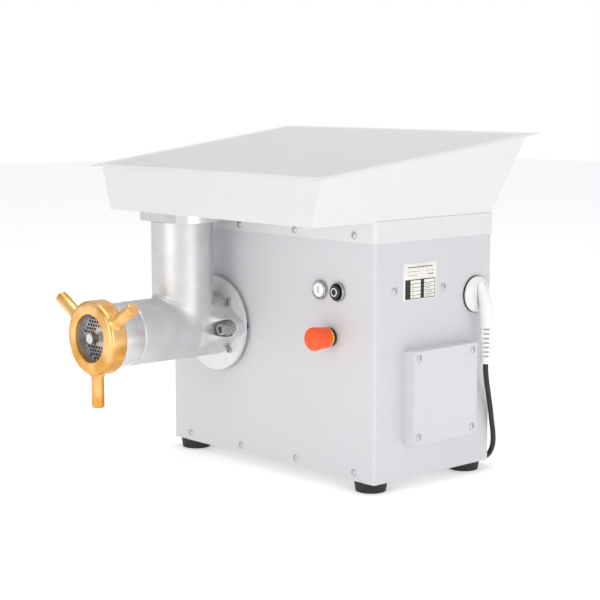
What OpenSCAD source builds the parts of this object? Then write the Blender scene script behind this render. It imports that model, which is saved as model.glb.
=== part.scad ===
// Electric meat grinder: steel cabinet, flared meat tray, side-mounted
// grinding head, worm gear drive and mains lead with a parked plug.
// +Z up, the head points to -Y, the terminal cover and plug are on +X.
// The origin is the middle of the footprint, at the underside of the feet.

/* [Cabinet] */
// Width of the cabinet
body_w = 450; // [430:1:470]
// Depth of the cabinet
body_d = 243; // [235:1:255]
// Height of the tray floor above the table
tray_z = 387.5; // [380:0.5:400]
// Height of the rubber feet
foot_h = 15; // [12:1:20]
// Radius of the rubber feet
foot_r = 24; // [18:1:26]
// Sheet thickness
sheet = 1.5; // [1:0.1:2]
// Outside radius of the cabinet's folded edges
fold_r = 4; // [2:0.5:8]

/* [Tray] */
// How far the tray stands out in front of the cabinet
tray_over = 121; // [115:1:130]
// Height of the tray's front wall
front_wall = 68; // [50:1:90]
// Height of the tray's rear wall
rear_wall = 117; // [95:1:130]
// Outward lean of the side walls, per unit of height
side_lean = 0.3; // [0.1:0.01:0.4]
// Outward lean of the rear wall at its top
rear_lean = 37.5; // [20:0.5:50]
// Width of the tray's rim
rim_w = 13.5; // [8:0.5:20]
// Height of the skirt that wraps the top of the cabinet
skirt_h = 30; // [20:1:40]

/* [Head] */
// Reach of the head in front of the cabinet
head_reach = 246; // [240:1:260]
// Sideways place of the head's axis
head_x = -111.5; // [-120:0.5:-100]
// Height of the head's axis
head_z = 213; // [205:1:220]
// Outside radius of the barrel
barrel_r = 47.8; // [46:0.1:50]
// Bore radius of the barrel
bore_r = 38; // [36:0.5:39]
// Outside radius of the neck
neck_r = 46.3; // [44:0.1:47]
// Distance of the neck's axis from the cabinet
neck_y = 72.5; // [68:0.5:80]
// Outside radius of the ring nut
ring_r = 54.6; // [53:0.1:58]
// Reach of the ring nut's three bars from the axis
bar_reach = 103; // [90:1:110]
// Radius of the ring nut's bars
bar_r = 9.4; // [8:0.1:10]
// Radius of the grinding plate
plate_r = 41; // [40.5:0.5:42]
// Radius of the holes in the grinding plate
plate_hole_r = 2.25; // [1.5:0.25:2.5]

/* [Drive] */
// Module of the worm gear
gear_m = 4; // [4:1:4]
// Teeth on the worm wheel
wheel_teeth = 30; // [30:1:30]
// Threads on the worm
worm_starts = 3; // [3:1:3]
// Pitch of the auger
auger_pitch = 45; // [40:1:60]

/* [Controls] */
// Sideways place of the start button
start_x = 115.5; // [110:0.5:122]
// Sideways place of the stop button
stop_x = 152; // [148:0.5:160]
// Height of the two buttons
button_z = 284.5; // [278:0.5:290]
// Sideways place of the emergency stop
estop_x = 136; // [130:1:145]
// Height of the emergency stop
estop_z = 218; // [210:1:225]
// Travel of the start and stop buttons
button_travel = 2.5; // [1.5:0.5:2.5]

/* [Hidden] */
$fn = 64;
tiny = 0.01;

// cabinet
rear_over = rear_lean + rim_w;
front_y = (head_reach - body_d - rear_over) / 2;
rear_y = front_y + body_d;
half_w = body_w / 2;
wrap_h = tray_z - foot_h;
foot_x = half_w - 28;
foot_inset = 22;
foot_ys = [front_y + foot_inset, rear_y - foot_inset];
screw_xs = [-184, -61.5, 61.5, 184];
low_screw_z = foot_h + 12;
top_screw_z = tray_z - skirt_h + 10;
panel_screw_r = 4.8;
side_points = [[front_y + 39, 288], [front_y + 140, 286]];
lip_h = 26;

// tray
tray_front_y = front_y - tray_over;
rim_slope = (rear_wall - front_wall) / (body_d + tray_over + rear_lean);
throat_r = 37;
skirt_lap = 1;

// head, measured along Y from the cabinet's front
flange_t = 12;
flange_r = 72.8;
neck_cy = front_y - neck_y;
mount_y = front_y - flange_t;
ring_front_y = front_y - head_reach;
ring_len = 29;
lip_t = 8;
lip_r = 35;
liner_len = 12;
plate_t = 10;
plate_front_y = ring_front_y + lip_t + liner_len;
barrel_front_y = ring_front_y + 16;
collar_rear_y = front_y - 178;
collar_r = barrel_r - 0.8;
thread_r = 47;
seat_y = plate_front_y + plate_t;
bore_end_y = mount_y - 22;
ear_x = 61.5;
ear_r = 11;
ear_core_r = 42;
ear_t = 15;
web_front_y = mount_y - 55;
throat_flange_t = 13;
throat_flange_r = 62.5;
throat_flat_y = front_y - 118;
flange_screw_r = 54;
stud_r = 7.9;
stud_square = 13;
tang = 18;
journal_r = 20;
knife_t = 11;

// drive
wheel_y = front_y + 125;
pitch_r = gear_m * wheel_teeth / 2;
worm_pitch_r = 20;
worm_z = head_z - pitch_r - worm_pitch_r;
worm_lead = PI * gear_m * worm_starts;
worm_len = 64;
wheel_w = 30;
lead_slope = worm_lead / (2 * PI * worm_pitch_r);
press_angle = 20;
play = 1.2;
tooth_w = PI * gear_m / 2 - play;
box_w = 156;
box_front_y = wheel_y - 49;
box_rear_y = wheel_y + 49;
box_low_z = worm_z - 40;
bearing_r = 34;
bearing_w = 14;
worm_bearing_r = 26;
worm_bearing_w = 15;
shaft_r = 12;
run_gap = 0.05;
box_right_x = head_x + box_w / 2;
motor_front_x = box_right_x;
motor_rear_x = 190;
motor_r = 58;
cover_y = front_y + 125;
cover_z = 134.5;
cover_size = 135;
cover_h = 21.7;
cover_screw = 57;
motor_hole_r = 60;

// controls
bezel_r = 14.2;
bezel_out = 5.5;
cap_r = 10.5;
stop_out = 9.5;
stem_r = 4;
stem_in = 17;
bezel_floor = 0.6;
sleeve_r = 10.9;

// plug, parked on the right-hand side
plug_y = front_y + 211;
plug_z = 270;
plug_r = 26.7;
relief_x = half_w + 22;
relief_top = 229;
relief_low = 168.5;
relief_r = 8.8;
cord_r = 4;

// cord: the lead leaves the gland, the tail rises to the plug
gland_x = 20;
gland_z = 55;
lead_route = [
    [20, 222, 55], [20, 234, 55], [20, 246, 55], [20, 257, 54], [20, 267, 50.5],
    [20, 276, 44.5], [19.8, 284, 37], [19.3, 292, 29.5], [18, 300, 23], [16, 308, 18]
];
tail_route = [
    [0, 236, 4], [25, 236, 4], [50, 236, 4], [75, 236, 4], [100, 236, 4],
    [125, 236, 4], [150, 236, 4], [172, 235.5, 5], [192, 235, 8], [208, 233.5, 14],
    [220, 231.5, 24], [227, 229.5, 38], [230, 226, 56], [232, 220, 76], [235, 213, 97],
    [238, 205, 118], [243, 195, 138], [246.3, 188.5, 155], [247, 187, 168.5]
];
coil_x = -24;
coil_y = 288;
coil_in = 28;
coil_out = 56;
coil_h = 16.4;

module along_x(x) {
    translate([x, 0, 0]) rotate([0, 90, 0]) children();
}

module along_y(y) {
    translate([0, y, 0]) rotate([-90, 0, 0]) children();
}

module on_head(y) {
    translate([head_x, y, head_z]) rotate([-90, 0, 0]) children();
}

module on_worm(x) {
    translate([x, wheel_y, worm_z]) rotate([0, 90, 0]) children();
}

module tube(r_out, r_in, h) {
    difference() {
        cylinder(r = r_out, h = h);
        translate([0, 0, -1]) cylinder(r = r_in, h = h + 2);
    }
}

// button-head screw along local +Z, head below z = 0
module dome_screw(head_r, head_h, shank_r, shank) {
    difference() {
        translate([0, 0, -head_h]) cylinder(r1 = head_r * 0.62, r2 = head_r, h = head_h);
        translate([0, 0, -head_h - tiny]) cylinder(r = head_r * 0.35, h = head_h * 0.5, $fn = 6);
    }
    cylinder(r = shank_r, h = shank);
}

// ---------- cabinet ----------

module base_plate() {
    color("gainsboro") difference() {
        union() {
            translate([-half_w + sheet, front_y + sheet, foot_h])
                cube([body_w - 2 * sheet, body_d - 2 * sheet, 2]);
            for (y = [front_y + sheet, rear_y - 2 * sheet - tiny * 10])
                translate([-half_w + sheet + 2, y, foot_h])
                    cube([body_w - 2 * sheet - 4, sheet, lip_h]);
        }
        for (x = [-foot_x, foot_x])
            for (y = foot_ys)
                translate([x, y, foot_h - 1]) cylinder(r = 4.2, h = 4);
        for (x = screw_xs)
            translate([x, 0, low_screw_z]) along_y(front_y - 1) cylinder(r = 2.3, h = body_d + 2);
    }
}

module wrap_outline(grow) {
    difference() {
        union() {
            translate([-half_w + fold_r, front_y - grow]) square([body_w - 2 * fold_r, body_d + grow]);
            translate([-half_w - grow, front_y + fold_r])
                square([body_w + 2 * grow, body_d - fold_r + grow]);
            for (s = [-1, 1])
                translate([s * (half_w - fold_r), front_y + fold_r]) circle(r = fold_r + grow);
        }
        translate([-half_w - 20, rear_y + grow]) square([body_w + 40, 20]);
    }
}

module cabinet_shell() {
    color("whitesmoke") difference() {
        translate([0, 0, foot_h]) linear_extrude(wrap_h) difference() {
            wrap_outline(0);
            translate([0, -tiny]) wrap_outline(-sheet);
            translate([-half_w + sheet, front_y + 20]) square([body_w - 2 * sheet, body_d]);
        }
        on_head(front_y - 5) cylinder(r = 40, h = 10);
        for (s = [-1, 1])
            translate([head_x + s * ear_x, 0, head_z]) along_y(front_y - 5) cylinder(r = 6.5, h = 10);
        on_head(front_y - 5) for (a = [45:90:315])
            rotate(a) translate([flange_screw_r, 0, 0]) cylinder(r = 2.7, h = 10);
        for (x = [start_x, stop_x])
            translate([x, 0, button_z]) along_y(front_y - 5) cylinder(r = sleeve_r + 0.1, h = 10);
        translate([estop_x, 0, estop_z]) along_y(front_y - 5) cylinder(r = sleeve_r + 0.1, h = 10);
        translate([0, cover_y, cover_z]) along_x(half_w - 5) cylinder(r = motor_hole_r, h = 10);
        translate([0, plug_y, plug_z]) along_x(half_w - 5) cylinder(r = 25, h = 10);
        for (p = side_points) translate([0, p[0], p[1]]) along_x(half_w - 5) cylinder(r = 2.3, h = 10);
        for (a = [-1, 1])
            for (b = [-1, 1])
                translate([0, cover_y + a * cover_screw, cover_z + b * cover_screw])
                    along_x(half_w - 5) cylinder(r = 2.3, h = 10);
        for (x = screw_xs)
            for (z = [low_screw_z, top_screw_z])
                translate([x, 0, z]) along_y(front_y - 5) cylinder(r = 2.3, h = 10);
    }
}

module rear_panel() {
    slot_w = 5;
    slot_h = 60;
    color("whitesmoke") difference() {
        translate([-half_w + sheet, rear_y - sheet, foot_h])
            cube([body_w - 2 * sheet, sheet, wrap_h]);
        for (i = [0:9])
            translate([60 + 14 * i, rear_y - 5, 110]) cube([slot_w, 10, slot_h]);
        for (i = [0:9])
            translate([-186 + 14 * i, rear_y - 5, 110]) cube([slot_w, 10, slot_h]);
        translate([gland_x, 0, gland_z]) along_y(rear_y - 5) cylinder(r = 8, h = 10);
        for (x = screw_xs)
            for (z = [low_screw_z, top_screw_z])
                translate([x, 0, z]) along_y(rear_y - 5) cylinder(r = 2.3, h = 10);
    }
}

// the tray's solid, drawn in by inset, its floor lifted and its top raised by over
module tray_solid(inset, lift, over) {
    x0 = half_w - inset + side_lean * lift;
    xf = half_w - inset + side_lean * (front_wall + over);
    xr = half_w - inset + side_lean * (rear_wall + over);
    yf = tray_front_y + inset;
    y0 = rear_y - inset + rear_lean * lift / rear_wall;
    yr = rear_y - inset + rear_lean * (rear_wall + over) / rear_wall;
    zf = tray_z + front_wall + over;
    zr = tray_z + rear_wall + over;
    polyhedron(
        points = [
            [-x0, yf, tray_z + lift], [x0, yf, tray_z + lift],
            [x0, y0, tray_z + lift], [-x0, y0, tray_z + lift],
            [-xf, yf, zf], [xf, yf, zf], [xr, yr, zr], [-xr, yr, zr]
        ],
        faces = [[0, 1, 2, 3], [7, 6, 5, 4], [0, 4, 5, 1], [1, 5, 6, 2], [2, 6, 7, 3], [3, 7, 4, 0]]
    );
}

module rim_slab() {
    xf = half_w + side_lean * front_wall + rim_w;
    xr = half_w + side_lean * rear_wall + rim_w;
    yf = tray_front_y - rim_w;
    yr = rear_y + rear_lean + rim_w;
    zf = tray_z + front_wall - rim_slope * rim_w;
    zr = tray_z + rear_wall + rim_slope * rim_w;
    polyhedron(
        points = [
            [-xf, yf, zf - sheet], [xf, yf, zf - sheet], [xr, yr, zr - sheet], [-xr, yr, zr - sheet],
            [-xf, yf, zf], [xf, yf, zf], [xr, yr, zr], [-xr, yr, zr]
        ],
        faces = [[0, 1, 2, 3], [7, 6, 5, 4], [0, 4, 5, 1], [1, 5, 6, 2], [2, 6, 7, 3], [3, 7, 4, 0]]
    );
}

module skirt() {
    translate([0, 0, tray_z - skirt_h]) linear_extrude(skirt_h + skirt_lap) difference() {
        wrap_outline(sheet);
        wrap_outline(0);
    }
}

module meat_tray() {
    color("whitesmoke") {
        difference() {
            union() {
                tray_solid(0, 0, -sheet / 2);
                rim_slab();
            }
            tray_solid(sheet, sheet, 20);
            translate([head_x, neck_cy, tray_z - 1]) cylinder(r = throat_r + 1, h = 4);
        }
        difference() {
            skirt();
            for (x = screw_xs)
                translate([x, 0, top_screw_z]) along_y(front_y - 5) cylinder(r = 2.3, h = body_d + 10);
        }
    }
}

module rubber_feet() {
    color("black") for (x = [-foot_x, foot_x])
        for (y = foot_ys)
            translate([x, y, 0]) difference() {
                cylinder(r1 = foot_r - 1.5, r2 = foot_r, h = foot_h);
                translate([0, 0, -1]) cylinder(r = 8, h = 8);
                cylinder(r = 4, h = foot_h + 1);
            }
}

module foot_bolts() {
    color("silver") for (x = [-foot_x, foot_x])
        for (y = foot_ys)
            translate([x, y, 0]) {
                translate([0, 0, 3]) cylinder(r = 6.5, h = 4, $fn = 6);
                translate([0, 0, 7]) cylinder(r = 3.9, h = 16);
                translate([0, 0, foot_h + 2]) tube(7, 3.9, 5);
            }
}

module panel_screws() {
    color("silver") for (x = screw_xs) {
        translate([x, 0, low_screw_z]) along_y(front_y) dome_screw(panel_screw_r, 2.6, 2.2, 8);
        translate([x, 0, top_screw_z]) along_y(front_y - sheet) dome_screw(panel_screw_r, 2.6, 2.2, 8);
        translate([x, rear_y, low_screw_z]) rotate([90, 0, 0]) dome_screw(panel_screw_r, 2.6, 2.2, 8);
        translate([x, rear_y + sheet, top_screw_z]) rotate([90, 0, 0])
            dome_screw(panel_screw_r, 2.6, 2.2, 8);
    }
}

module terminal_cover() {
    color("whitesmoke") translate([half_w, cover_y - cover_size / 2, cover_z - cover_size / 2])
        difference() {
            cube([cover_h, cover_size, cover_size]);
            translate([-1, sheet, sheet])
                cube([cover_h - sheet + 1, cover_size - 2 * sheet, cover_size - 2 * sheet]);
            for (a = [-1, 1])
                for (b = [-1, 1])
                    translate([0, cover_size / 2 + a * cover_screw, cover_size / 2 + b * cover_screw])
                        along_x(cover_h - 5) cylinder(r = 2.3, h = 10);
        }
}

module cover_screws() {
    color("silver") for (a = [-1, 1])
        for (b = [-1, 1])
            translate([half_w + cover_h, cover_y + a * cover_screw, cover_z + b * cover_screw])
                rotate([0, -90, 0]) dome_screw(5, 2.8, 2.2, cover_h + 6);
}

module side_screws() {
    color("silver") for (p = side_points)
        translate([half_w, p[0], p[1]]) rotate([0, -90, 0]) dome_screw(5.2, 3, 2.2, 8);
}

module rating_plate() {
    color("ivory") translate([half_w, front_y + 56.5, 273]) cube([0.6, 68.5, 52.5]);
}

// ---------- grinding head ----------

// a round flange with two ears, drawn about the origin
module ear_outline(core, tip, reach) {
    a = acos((core - tip) / reach);
    circle(r = core);
    for (s = [-1, 1]) translate([s * reach, 0]) circle(r = tip);
    polygon([
        for (q = [[1, 1], [-1, 1], [-1, -1], [1, -1]]) each (q[0] * q[1] > 0
            ? [
                [q[0] * (reach + tip * cos(a)), q[1] * tip * sin(a)],
                [q[0] * core * cos(a), q[1] * core * sin(a)]
            ]
            : [
                [q[0] * core * cos(a), q[1] * core * sin(a)],
                [q[0] * (reach + tip * cos(a)), q[1] * tip * sin(a)]
            ])
    ]);
}

module grinder_barrel() {
    color("silver") difference() {
        union() {
            on_head(barrel_front_y) cylinder(r = thread_r, h = 14);
            on_head(barrel_front_y + 13) cylinder(r = collar_r, h = collar_rear_y - barrel_front_y - 13);
            on_head(collar_rear_y) cylinder(r = barrel_r, h = mount_y - collar_rear_y);
            on_head(mount_y - ear_t) linear_extrude(ear_t) ear_outline(ear_core_r, ear_r, ear_x);
            intersection() {
                on_head(web_front_y)
                    cylinder(r1 = barrel_r - 1, r2 = ear_x + 12, h = mount_y - web_front_y);
                on_head(web_front_y) linear_extrude(mount_y - web_front_y)
                    ear_outline(ear_core_r, ear_r, ear_x);
            }
            translate([head_x, neck_cy, head_z]) cylinder(r = neck_r, h = tray_z - throat_flange_t - head_z);
        }
        on_head(barrel_front_y - 1) cylinder(r = plate_r + 0.1, h = seat_y - barrel_front_y + 1);
        on_head(barrel_front_y) cylinder(r = bore_r, h = bore_end_y - barrel_front_y);
        on_head(bore_end_y - 1) cylinder(r = 24, h = 30);
        translate([head_x, neck_cy, head_z]) cylinder(r = throat_r, h = tray_z - head_z + 1);
        for (s = [-1, 1]) {
            translate([head_x + s * ear_x, 0, head_z]) along_y(web_front_y - 5)
                cylinder(r = 13, h = mount_y - ear_t - web_front_y + 5);
            translate([head_x + s * ear_x, 0, head_z]) along_y(mount_y - ear_t - 1)
                cylinder(r = 6.3, h = ear_t + 2);
        }
        on_head(plate_front_y) translate([0, plate_r, 0]) cylinder(r = 2.5, h = plate_t + 4);
    }
}

module throat_flange() {
    color("silver") translate([head_x, neck_cy, tray_z - throat_flange_t]) difference() {
        cylinder(r = throat_flange_r, h = throat_flange_t);
        translate([0, 0, -1]) cylinder(r = throat_r, h = throat_flange_t + 2);
        translate([-80, throat_flat_y - neck_cy - 40, -1]) cube([160, 40, throat_flange_t + 2]);
    }
}

module mounting_flange() {
    plate = 5;
    color("gainsboro") on_head(mount_y) difference() {
        union() {
            cylinder(r = flange_r, h = plate);
            translate([0, 0, plate - tiny]) cylinder(r = 58, h = flange_t - plate + tiny);
        }
        translate([0, 0, -1]) cylinder(r = 30, h = flange_t + 2);
        for (s = [-1, 1]) translate([s * ear_x, 0, -1]) cylinder(r = 6.2, h = flange_t + 2);
        for (a = [45:90:315])
            rotate(a) translate([flange_screw_r, 0, -1]) cylinder(r = 2.7, h = flange_t + 2);
    }
}

module flange_screws() {
    color("dimgray") on_head(mount_y) for (a = [45:90:315])
        rotate(a) translate([flange_screw_r, 0, 0]) difference() {
            union() {
                translate([0, 0, -4]) cylinder(r = 4.4, h = 4);
                cylinder(r = 2.6, h = flange_t + 8);
            }
            translate([0, 0, -5]) cylinder(r = 2.3, h = 3.6, $fn = 6);
        }
}

// socket screw on a washer and a spacer
module head_bolts() {
    head_h = 12;
    washer_h = 2.5;
    spacer_h = 9.5;
    rise = head_h + washer_h + spacer_h;
    color("dimgray") for (s = [-1, 1])
        translate([head_x + s * ear_x, 0, head_z]) along_y(mount_y - ear_t) difference() {
            union() {
                translate([0, 0, -rise]) cylinder(r = 8.7, h = head_h);
                translate([0, 0, -spacer_h - washer_h]) cylinder(r = 10.5, h = washer_h);
                translate([0, 0, -spacer_h]) cylinder(r = 8.4, h = spacer_h);
                cylinder(r = 6, h = 42);
            }
            translate([0, 0, -rise - 1]) cylinder(r = 5.6, h = 7, $fn = 6);
        }
}

module rear_bush() {
    color("peru") on_head(bore_end_y) tube(24, journal_r + run_gap, mount_y - bore_end_y);
}

module plate_pin() {
    color("silver") on_head(plate_front_y) translate([0, plate_r, 0]) cylinder(r = 2.5, h = plate_t + 4);
}

// centres of the plate's holes: rows on a triangular grid
plate_pitch = 6.1;
plate_holes = [
    for (i = [-7:7]) for (j = [-7:7])
        let (x = plate_pitch * (i + j / 2), y = plate_pitch * j * sqrt(3) / 2, r = norm([x, y]))
        if (r > 13.5 && r < plate_r - 5) [x, y]
];

module grinding_plate() {
    color("silver") on_head(plate_front_y) difference() {
        cylinder(r = plate_r, h = plate_t);
        translate([0, 0, -1]) cylinder(r = stud_r + 0.08, h = plate_t + 2);
        for (p = plate_holes) translate([p[0], p[1], -1]) cylinder(r = plate_hole_r, h = plate_t + 2);
        translate([0, plate_r, -1]) cylinder(r = 2.8, h = plate_t + 2);
    }
}

module thrust_ring() {
    color("gray") on_head(plate_front_y - liner_len + 0.1)
        tube(plate_r - 0.2, plate_r - 4.5, liner_len - 0.3);
}

module ring_nut() {
    edge = 5;
    color("goldenrod") on_head(ring_front_y) difference() {
        rotate_extrude() difference() {
            union() {
                translate([lip_r, edge]) square([ring_r - lip_r, ring_len - edge - 1]);
                translate([lip_r, 0]) square([ring_r - lip_r - edge, edge + 1]);
                translate([ring_r - edge, edge]) circle(r = edge);
                translate([lip_r, ring_len - 3]) square([ring_r - lip_r - 1, 3]);
            }
            translate([lip_r - 1, lip_t]) square([thread_r + 0.4 - lip_r + 1, ring_len]);
        }
        for (a = [90, 210, 330])
            rotate(a) translate([thread_r + 4, 0, ring_len / 2]) rotate([0, 90, 0])
                cylinder(r = bar_r, h = 20);
    }
}

module ring_bars() {
    color("goldenrod") on_head(ring_front_y) for (a = [90, 210, 330])
        rotate(a) translate([thread_r + 4, 0, ring_len / 2]) rotate([0, 90, 0]) {
            reach = bar_reach - thread_r - 4;
            cylinder(r = bar_r, h = reach - 1.5);
            translate([0, 0, reach - 1.5]) cylinder(r1 = bar_r, r2 = bar_r - 1.5, h = 1.5);
        }
}

// ---------- rotating parts of the head ----------

auger_front_y = seat_y + knife_t + 1;
auger_len = bore_end_y - 3 - auger_front_y;
flight_r = bore_r - 1.5;
auger_core_r = 14;
flight_half = 26;

module auger_section() {
    polygon([
        for (a = [flight_half + 20:20:340 - flight_half]) auger_core_r * [cos(a), sin(a)],
        auger_core_r * [cos(-flight_half), sin(-flight_half)],
        flight_r * [cos(-flight_half + 10), sin(-flight_half + 10)],
        flight_r * [cos(0), sin(0)],
        flight_r * [cos(flight_half - 10), sin(flight_half - 10)],
        auger_core_r * [cos(flight_half), sin(flight_half)]
    ]);
}

module auger() {
    twist = 360 * auger_len / auger_pitch;
    color("silver") {
        on_head(auger_front_y) linear_extrude(auger_len, twist = twist, slices = round(twist / 18), $fn = 16)
            auger_section();
        on_head(bore_end_y - 3 - tiny) cylinder(r = 24, h = 2.5);
        on_head(bore_end_y - 1) cylinder(r = journal_r, h = mount_y - bore_end_y + 1);
        on_head(mount_y - tiny) translate([-tang / 2, -tang / 2, 0]) cube([tang, tang, 24]);
    }
}

module auger_stud() {
    color("lightgray") {
        on_head(seat_y) translate([-stud_square / 2, -stud_square / 2, 0])
            cube([stud_square, stud_square, auger_front_y - seat_y]);
        on_head(ring_front_y) cylinder(r = stud_r, h = seat_y - ring_front_y);
    }
}

module knife() {
    arm_w = 13;
    color("lightgray") on_head(seat_y + 0.2) difference() {
        union() {
            cylinder(r = 14.5, h = knife_t);
            for (a = [0:90:270]) rotate(a) linear_extrude(knife_t)
                polygon([[0, -arm_w / 2], [plate_r - 6, -arm_w / 2 + 4], [plate_r - 5, 0], [0, arm_w / 2]]);
        }
        translate([-stud_square / 2 - 0.15, -stud_square / 2 - 0.15, -1])
            cube([stud_square + 0.3, stud_square + 0.3, knife_t + 2]);
    }
}

module output_shaft() {
    color("silver") difference() {
        on_head(mount_y + 1) cylinder(r = journal_r, h = box_rear_y - mount_y - 2);
        on_head(mount_y) translate([-tang / 2 - 0.2, -tang / 2 - 0.2, 0])
            cube([tang + 0.4, tang + 0.4, 26]);
        on_head(wheel_y - 14) translate([journal_r - 3, -3, 0]) cube([8, 6, 28]);
    }
}

module shaft_key() {
    color("dimgray") on_head(wheel_y - 13.9) translate([journal_r - 2.9, -2.95, 0])
        cube([5.7, 5.9, 27.8]);
}

// involute of an angle, in degrees
function inv_deg(a) = tan(a) * 180 / PI - a;
base_circle = pitch_r * cos(press_angle);
function tooth_half(r) = tooth_w / 2 / pitch_r * 180 / PI + inv_deg(press_angle)
    - (r > base_circle ? inv_deg(acos(base_circle / r)) : 0);
wheel_radii = [pitch_r - 4.8, pitch_r - 2, pitch_r + 1, pitch_r + gear_m];

module wheel_section() {
    pitch = 360 / wheel_teeth;
    polygon([
        for (i = [0:wheel_teeth - 1]) let (mid = 90 + pitch * (i + 0.5)) each [
            for (k = [0:3]) wheel_radii[k] *
                [cos(mid - tooth_half(wheel_radii[k])), sin(mid - tooth_half(wheel_radii[k]))],
            for (k = [3:-1:0]) wheel_radii[k] *
                [cos(mid + tooth_half(wheel_radii[k])), sin(mid + tooth_half(wheel_radii[k]))]
        ]
    ]);
}

module worm_wheel() {
    lean = lead_slope * wheel_w / pitch_r * 180 / PI;
    color("darkgoldenrod") difference() {
        union() {
            on_head(wheel_y - wheel_w / 2) rotate(-lean / 2)
                linear_extrude(wheel_w, twist = -lean, slices = 4) wheel_section();
            on_head(wheel_y - 20) cylinder(r = 30, h = 40);
        }
        on_head(wheel_y - 25) cylinder(r = journal_r + 0.1, h = 50);
        on_head(wheel_y - 25) translate([journal_r - 3, -3, 0]) cube([6, 6, 50]);
        for (a = [30:60:330])
            on_head(wheel_y - 25) rotate(a) translate([42, 0, 0]) cylinder(r = 7, h = 50);
    }
}

// ---------- gearbox ----------

module gearbox_adapter() {
    color("lightgray") difference() {
        union() {
            on_head(front_y + sheet) cylinder(r = 72, h = 10);
            on_head(front_y + sheet) cylinder(r = 46, h = box_front_y - front_y - sheet);
            on_head(box_front_y - 10) cylinder(r = 64, h = 10);
        }
        on_head(front_y) cylinder(r = 33, h = box_front_y - front_y + 1);
        for (s = [-1, 1])
            translate([head_x + s * ear_x, 0, head_z]) along_y(front_y) cylinder(r = 6, h = 20);
        on_head(front_y) for (a = [45:90:315])
            rotate(a) translate([flange_screw_r, 0, 0]) cylinder(r = 2.6, h = 20);
    }
}

module shaft_seal() {
    color("black") on_head(box_front_y - 8) tube(33, journal_r + 0.3, 7.5);
}

module gearbox_housing() {
    color("slategray") difference() {
        union() {
            translate([head_x - box_w / 2, box_front_y, box_low_z])
                cube([box_w, box_rear_y - box_front_y, head_z - box_low_z]);
            on_head(box_front_y) cylinder(r = box_w / 2, h = box_rear_y - box_front_y);
        }
        on_head(box_front_y - 1) cylinder(r = bearing_r, h = 30);
        on_head(box_front_y + bearing_w) cylinder(r = 68, h = 100);
        on_worm(head_x - box_w / 2 + 8) cylinder(r = worm_bearing_r, h = box_w);
    }
}

module gearbox_cover() {
    color("slategray") difference() {
        union() {
            on_head(box_rear_y) cylinder(r = 76, h = 6);
            on_head(box_rear_y - bearing_w - 2) cylinder(r = 42, h = bearing_w + 3);
        }
        on_head(box_rear_y - bearing_w - 3) cylinder(r = bearing_r, h = bearing_w + 3);
    }
}

module output_bearings() {
    color("lightgray") {
        on_head(box_front_y) tube(bearing_r, journal_r + run_gap, bearing_w);
        on_head(box_rear_y - bearing_w) tube(bearing_r, journal_r + run_gap, bearing_w);
    }
}

// half the angle that a thread covers at a radius
function thread_half(r) = (tooth_w / 2 + (worm_pitch_r - r) * tan(press_angle)) / worm_lead * 360;
worm_radii = [worm_pitch_r - 4.8, worm_pitch_r, worm_pitch_r + gear_m];

module worm_section() {
    step = 360 / worm_starts;
    difference() {
        polygon([
            for (i = [0:worm_starts - 1]) each [
                for (k = [0:2]) worm_radii[k] *
                    [cos(step * i - thread_half(worm_radii[k])), sin(step * i - thread_half(worm_radii[k]))],
                for (k = [2:-1:0]) worm_radii[k] *
                    [cos(step * i + thread_half(worm_radii[k])), sin(step * i + thread_half(worm_radii[k]))],
                worm_radii[0] * [cos(step * (i + 0.5)), sin(step * (i + 0.5))]
            ]
        ]);
        circle(r = shaft_r + 0.15, $fn = 32);
    }
}

module worm() {
    turn = 360 * worm_len / worm_lead;
    color("silver") on_worm(head_x - worm_len / 2) rotate(180 - turn / 2)
        linear_extrude(worm_len, twist = -turn, slices = 60, $fn = 16) worm_section();
}

module motor_shaft() {
    shaft_start = head_x - box_w / 2 + 10;
    color("silver") on_worm(shaft_start) cylinder(r = shaft_r, h = motor_rear_x + 24 - shaft_start);
}

module worm_bearings() {
    color("lightgray") for (x = [head_x - box_w / 2 + 9, head_x + box_w / 2 - worm_bearing_w - 4])
        on_worm(x) tube(worm_bearing_r, shaft_r + run_gap, worm_bearing_w);
}

// ---------- motor ----------

module motor_frame() {
    color("slategray") difference() {
        union() {
            on_worm(motor_front_x) cylinder(r = 64, h = 10);
            on_worm(motor_front_x) cylinder(r = motor_r - 5, h = motor_rear_x - motor_front_x);
            for (a = [0:15:345]) on_worm(motor_front_x + 20) rotate(a)
                translate([motor_r - 7, -1.2, 0]) cube([7, 2.4, 150]);
            translate([100, wheel_y - 30, worm_z + 40]) cube([70, 60, 45]);
        }
        on_worm(motor_front_x + 14) cylinder(r = 48, h = motor_rear_x - motor_front_x - 28);
        on_worm(motor_front_x - 1) cylinder(r = 20, h = 400);
    }
}

module stator_core() {
    color("peru") on_worm(10) tube(48, 37.5, 110);
}

module rotor_core() {
    color("gray") on_worm(12) tube(37, shaft_r, 106);
}

module motor_bearings() {
    color("lightgray") for (x = [motor_front_x + 1, motor_rear_x - 12])
        on_worm(x) tube(20, shaft_r + run_gap, 11);
}

module cooling_fan() {
    color("dimgray") {
        on_worm(motor_rear_x + 8) tube(20, shaft_r, 14);
        for (a = [0:45:315]) on_worm(motor_rear_x + 8) rotate(a)
            translate([19.5, -1, 0]) cube([25, 2, 14]);
    }
}

module fan_cowl() {
    color("dimgray") difference() {
        on_worm(motor_rear_x - 8) cylinder(r = 55, h = 54);
        on_worm(motor_rear_x - 9) cylinder(r = 53.8, h = 53);
        for (a = [0:30:330]) on_worm(motor_rear_x + 30) rotate(a)
            translate([18, -3, 0]) cube([26, 6, 30]);
    }
}

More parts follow.
